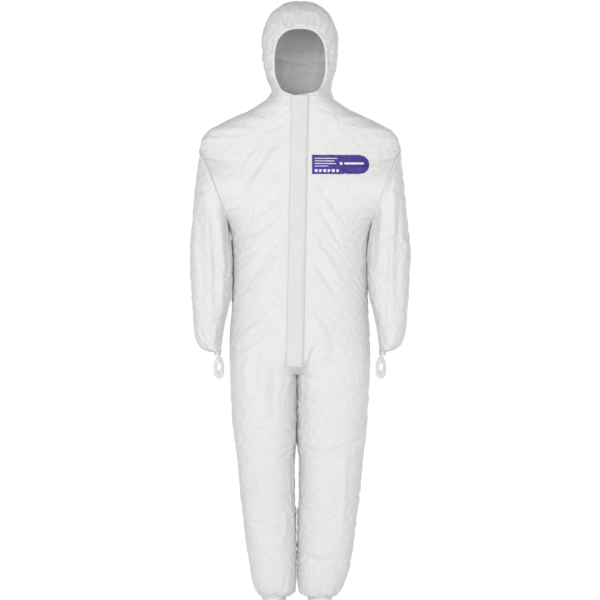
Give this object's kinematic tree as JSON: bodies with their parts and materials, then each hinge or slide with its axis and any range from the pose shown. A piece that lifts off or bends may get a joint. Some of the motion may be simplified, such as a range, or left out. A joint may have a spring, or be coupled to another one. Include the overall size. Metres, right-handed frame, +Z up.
{
  "type": "chemical protective suit",
  "caption": "Hooded one-piece protective coverall with a zip under a storm flap, elastic cuffs, ankles and face edge, thumb loops and a chest label.",
  "frame": {"origin": "point on the floor under the middle of the wearer or dress form, level with the ankle hems", "axes": "+Z up, +Y towards the wearer's back, so the zip faces -Y; +X towards the wearer's left"},
  "size_m": [0.643, 0.2745, 1.764],
  "materials": {
    "fabric": "matt, smooth microporous film laminate",
    "flap_fabric": "matt, two layers",
    "elastic": "ribbed elastic under fabric",
    "zip_tape": "woven polyester tape",
    "zip_plastic": "nylon",
    "zip_metal": "painted die casting",
    "adhesive": "release liner over adhesive",
    "label_print": "printed film, satin",
    "neck_label": "satin tape"
  },
  "bodies": {
    "torso": {"front_panel_right": "fabric", "front_panel_left": "fabric", "back_panel": "fabric", "waist_elastic": "elastic", "neck_label": "neck_label", "chest_label": "label_print", "zip_tape_right": "zip_tape", "zip_tape_left": "zip_tape", "zip_teeth_right": "zip_plastic", "zip_teeth_left": "zip_plastic", "zip_top_stop_right": "zip_plastic", "zip_top_stop_left": "zip_plastic", "zip_bottom_stop": "zip_plastic"},
    "hood": {"hood_side_right": "fabric", "hood_side_left": "fabric", "hood_centre_panel": "fabric", "hood_face_elastic": "elastic"},
    "storm_flap": {"storm_flap": "flap_fabric", "flap_adhesive_strip": "adhesive"},
    "zip_slider": {"zip_slider_body": "zip_metal"},
    "zip_pull": {"zip_pull_tab": "zip_metal"},
    "sleeve_right": {"sleeve_right_front": "fabric", "sleeve_right_back": "fabric", "cuff_elastic_right": "elastic"},
    "thumb_loop_right": {"thumb_loop_right": "elastic"},
    "leg_right": {"leg_right_front": "fabric", "leg_right_back": "fabric", "ankle_elastic_right": "elastic"},
    "sleeve_left": {"sleeve_left_front": "fabric", "sleeve_left_back": "fabric", "cuff_elastic_left": "elastic"},
    "thumb_loop_left": {"thumb_loop_left": "elastic"},
    "leg_left": {"leg_left_front": "fabric", "leg_left_back": "fabric", "ankle_elastic_left": "elastic"}
  },
  "joints": [
    {"name": "hood_fold", "type": "hinge", "parent": "torso", "child": "hood", "pos_m": [0, 0.097, 1.4815], "axis": [-1, 0, 0], "range_deg": [0, 55]},
    {"name": "storm_flap_open", "type": "hinge", "parent": "torso", "child": "storm_flap", "pos_m": [0.0176, -0.1155, 1.0897], "axis": [0.0202, 0.0366, 0.9991], "range_deg": [0, 105]},
    {"name": "zip_slide", "type": "slide", "parent": "torso", "child": "zip_slider", "axis": [-0.0202, -0.0366, -0.9991], "range_m": [0, 0.69]},
    {"name": "zip_pull_lift", "type": "hinge", "parent": "zip_slider", "child": "zip_pull", "pos_m": [0.0061, -0.1016, 1.462], "axis": [-0.9998, 0, 0.0203], "range_deg": [0, 9]},
    {"name": "sleeve_right_swing", "type": "hinge", "parent": "torso", "child": "sleeve_right", "pos_m": [-0.252, 0, 1.2175], "axis": [-0.9339, 0, -0.3576], "range_deg": [-30, 110]},
    {"name": "thumb_loop_right_swing", "type": "hinge", "parent": "sleeve_right", "child": "thumb_loop_right", "pos_m": [-0.2375, -0.051, 0.7205], "axis": [-1, 0, 0], "range_deg": [-60, 60]},
    {"name": "leg_right_swing", "type": "hinge", "parent": "torso", "child": "leg_right", "pos_m": [-0.105, -0.128, 0.76], "axis": [-1, 0, 0], "range_deg": [0, 60]},
    {"name": "sleeve_left_swing", "type": "hinge", "parent": "torso", "child": "sleeve_left", "pos_m": [0.252, 0, 1.2175], "axis": [-0.9339, 0, 0.3576], "range_deg": [-30, 110]},
    {"name": "thumb_loop_left_swing", "type": "hinge", "parent": "sleeve_left", "child": "thumb_loop_left", "pos_m": [0.2375, -0.051, 0.7205], "axis": [-1, 0, 0], "range_deg": [-60, 60]},
    {"name": "leg_left_swing", "type": "hinge", "parent": "torso", "child": "leg_left", "pos_m": [0.105, -0.128, 0.76], "axis": [-1, 0, 0], "range_deg": [0, 60]}
  ]
}
